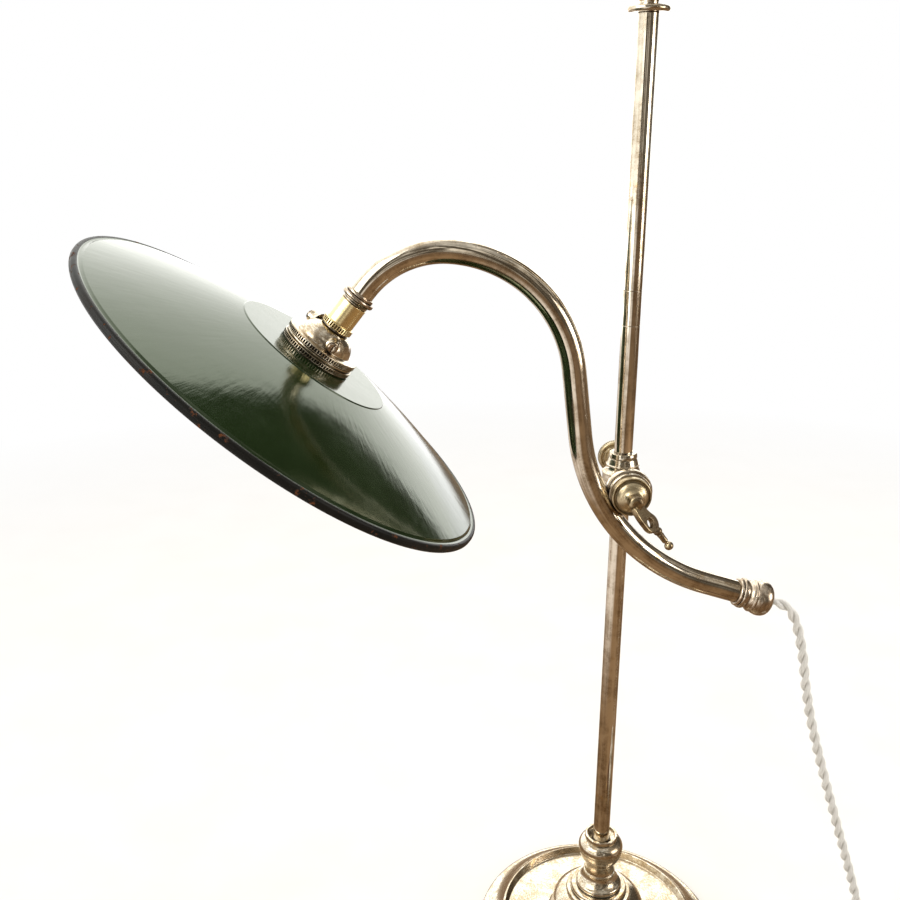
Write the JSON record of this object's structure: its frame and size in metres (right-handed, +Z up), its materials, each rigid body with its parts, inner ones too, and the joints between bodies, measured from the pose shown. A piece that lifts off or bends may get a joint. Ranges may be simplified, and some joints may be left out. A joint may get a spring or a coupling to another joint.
{
  "type": "desk lamp",
  "caption": "Desk lamp with a round spun base, a slim stem, a sliding and turning swan-neck arm with a thumb key, and a wide shallow enamelled shade on a bayonet holder.",
  "frame": {"origin": "centre of the base's underside, on the table", "axes": "+Z up along the stem, +X towards the arm's tail where the flex leaves, -X towards the shade, +Y away from the viewer"},
  "size_m": [0.4628, 0.2312, 0.5445],
  "materials": {
    "nickel": "bright spun nickel plate with age marks",
    "worn_nickel": "warm, worn nickel plate over brass, pitted and scratched",
    "brass": "unlacquered turned brass",
    "iron": "rough casting",
    "steel": "plain bright steel",
    "felt": "dense green felt",
    "flex": "off-white silk braid over two twisted cores",
    "tie": "woven tape",
    "plug": "moulded dark brown plastic",
    "fibre": "pressed fibre",
    "insulator": "glazed insulator",
    "enamel": "dark green vitreous enamel outside, white inside, chipped at the rim"
  },
  "bodies": {
    "root": {"base_shell": "nickel", "base_felt": "felt", "base_weight": "iron", "base_washer": "steel", "base_nut": "steel", "column_foot": "nickel", "stem_lower": "worn_nickel", "stem_coupling": "worn_nickel", "stem_upper": "worn_nickel", "finial": "nickel", "flex_drop": "flex", "flex_coil": "flex", "coil_tie": "tie", "flex_guard": "plug", "plug_cover": "plug", "plug_body": "plug", "plug_pins": "brass", "plug_screw": "steel"},
    "bush": {"slider_bush": "brass", "bush_ring": "worn_nickel"},
    "slider": {"slider_body": "worn_nickel", "lock_pad": "brass", "pivot_spindle": "steel", "pivot_washer": "fibre", "pivot_spring": "steel", "pivot_cap": "worn_nickel"},
    "knob": {"lock_knob": "worn_nickel"},
    "key": {"thumb_key": "worn_nickel"},
    "arm": {"arm_tube": "worn_nickel", "arm_drum": "worn_nickel", "tail_collar": "worn_nickel", "tail_ball": "worn_nickel", "tail_bush": "fibre", "flex_inner": "flex", "arm_collar": "nickel", "arm_nipple": "brass", "holder_sleeve": "brass", "holder_dome": "nickel", "grip_screws": "nickel", "holder_body": "nickel", "shade_ring_upper": "nickel", "shade_ring_lower": "nickel", "shade_nut": "nickel", "insulator": "insulator", "terminal_plates": "brass", "contact_springs": "steel", "shade": "enamel"},
    "contacts": {"contact_plungers": "brass"}
  },
  "joints": [
    {"name": "lamp_height", "type": "slide", "parent": "root", "child": "bush", "axis": [0, 0, 1], "range_m": [-0.09, 0.19], "deforming": ["flex_drop"]},
    {"name": "arm_swivel", "type": "hinge", "parent": "bush", "child": "slider", "pos_m": [0, 0, 0.298], "axis": [0, 0, 1], "range_deg": [-120, 120]},
    {"name": "arm_tilt", "type": "hinge", "parent": "slider", "child": "arm", "pos_m": [0, -0.0185, 0.298], "axis": [0, 1, 0], "range_deg": [-45, 30]},
    {"name": "key_turn", "type": "hinge", "parent": "slider", "child": "key", "pos_m": [0, -0.034, 0.298], "axis": [0, 1, 0], "range_deg": [-120, 120]},
    {"name": "lock_turn", "type": "hinge", "parent": "slider", "child": "knob", "pos_m": [0, 0.02, 0.3046], "axis": [0, 1, 0], "continuous": true},
    {"name": "contact_press", "type": "slide", "parent": "arm", "child": "contacts", "axis": [0.6207, 0, 0.784], "range_m": [0, 0.003], "stiffness_N_per_m": 1000, "springref_m": -0.001}
  ]
}
